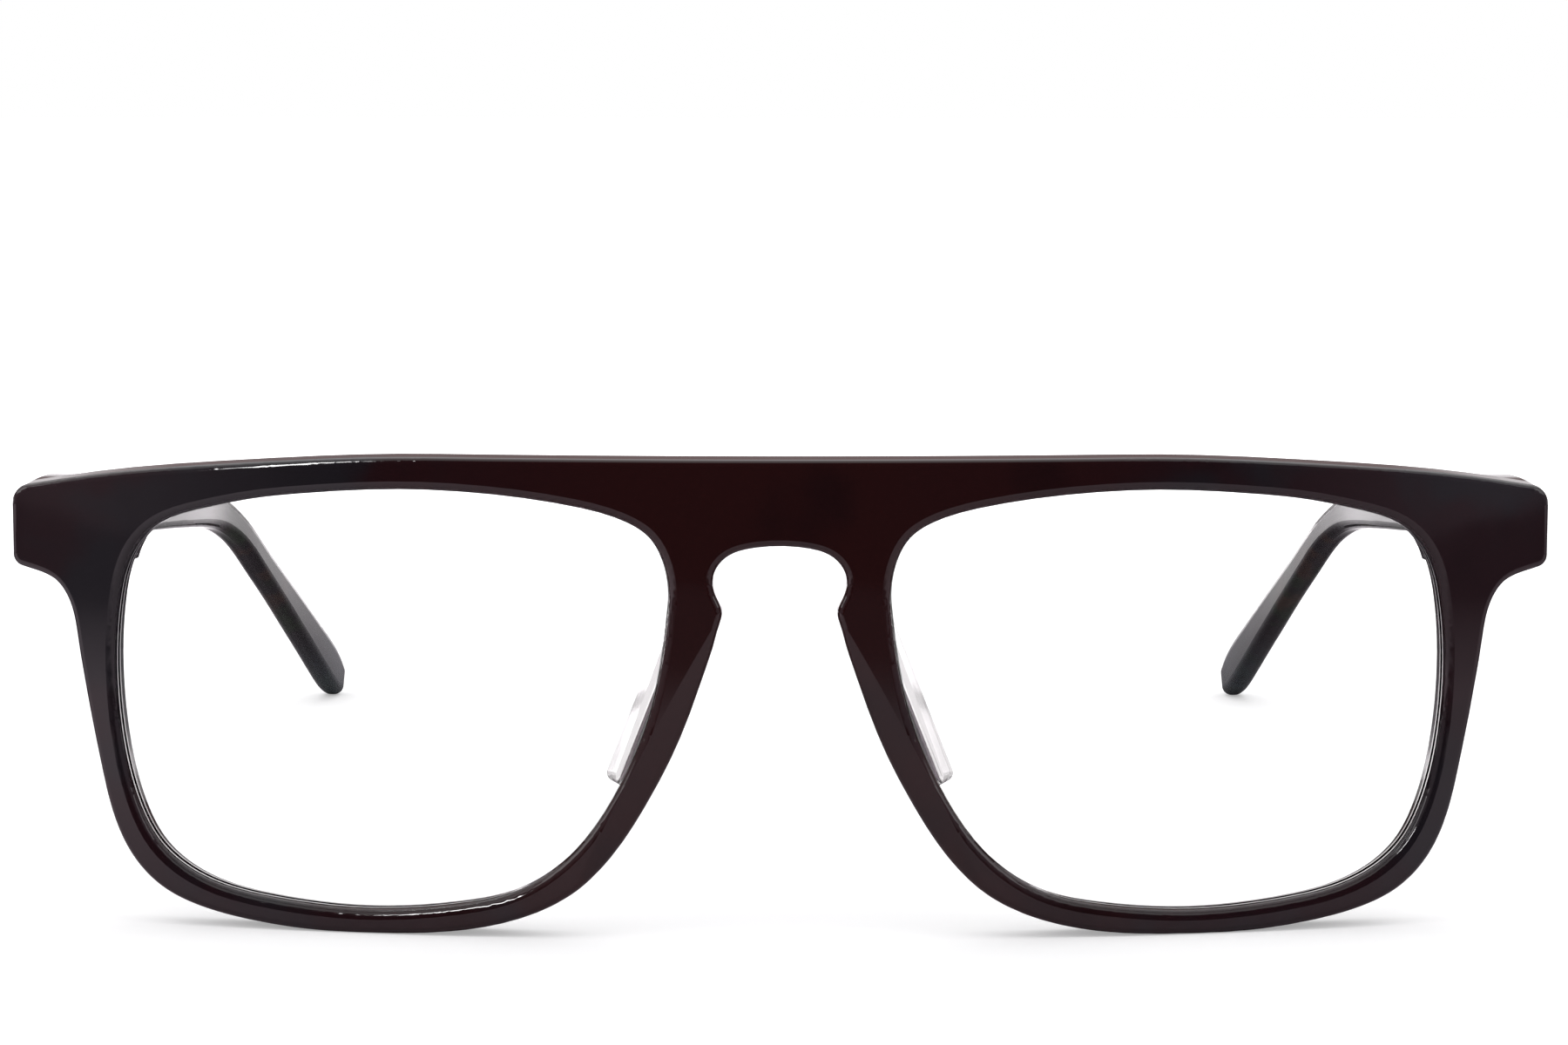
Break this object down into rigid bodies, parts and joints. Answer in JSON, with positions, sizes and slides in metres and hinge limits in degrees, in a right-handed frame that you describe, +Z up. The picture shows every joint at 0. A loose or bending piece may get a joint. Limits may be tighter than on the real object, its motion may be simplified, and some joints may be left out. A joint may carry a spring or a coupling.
{
  "type": "eyeglass frame",
  "caption": "Full-rim acetate eyeglasses with a straight flat brow over a thick keyhole bridge, clear lenses and folding paddle-tipped temples.",
  "frame": {"origin": "midway between the bridge and the temple tips and between the two sides, on the surface the rims and tips rest on", "axes": "+X to the wearer's left, +Y from the front back towards the temple tips, +Z up"},
  "size_m": [0.142, 0.138, 0.044],
  "materials": {
    "front_acetate": "polished very dark brown acetate",
    "temple_acetate": "polished very dark grey-brown acetate",
    "nose_pad": "polished clear acetate",
    "lens": "clear coated plastic",
    "core_wire": "plain drawn wire",
    "hinge_metal": "tumbled nickel silver",
    "screw_metal": "bright plated steel"
  },
  "bodies": {
    "front": {"front_frame": "front_acetate", "left_lens": "lens", "right_lens": "lens", "left_nose_pad": "nose_pad", "right_nose_pad": "nose_pad", "left_front_hinge": "hinge_metal", "right_front_hinge": "hinge_metal", "left_hinge_screw": "screw_metal", "right_hinge_screw": "screw_metal", "left_front_leaf_screws": "screw_metal", "right_front_leaf_screws": "screw_metal"},
    "left_temple_body": {"left_temple": "temple_acetate", "left_temple_core": "core_wire", "left_temple_hinge": "hinge_metal", "left_temple_leaf_screws": "screw_metal"},
    "right_temple_body": {"right_temple": "temple_acetate", "right_temple_core": "core_wire", "right_temple_hinge": "hinge_metal", "right_temple_leaf_screws": "screw_metal"}
  },
  "joints": [
    {"name": "left_hinge", "type": "hinge", "parent": "front", "child": "left_temple_body", "pos_m": [0.0649, -0.05162, 0.03675], "axis": [0, 0, 1], "range_deg": [0, 87.5]},
    {"name": "right_hinge", "type": "hinge", "parent": "front", "child": "right_temple_body", "pos_m": [-0.0649, -0.05162, 0.03675], "axis": [0, 0, -1], "range_deg": [0, 83.5]}
  ]
}
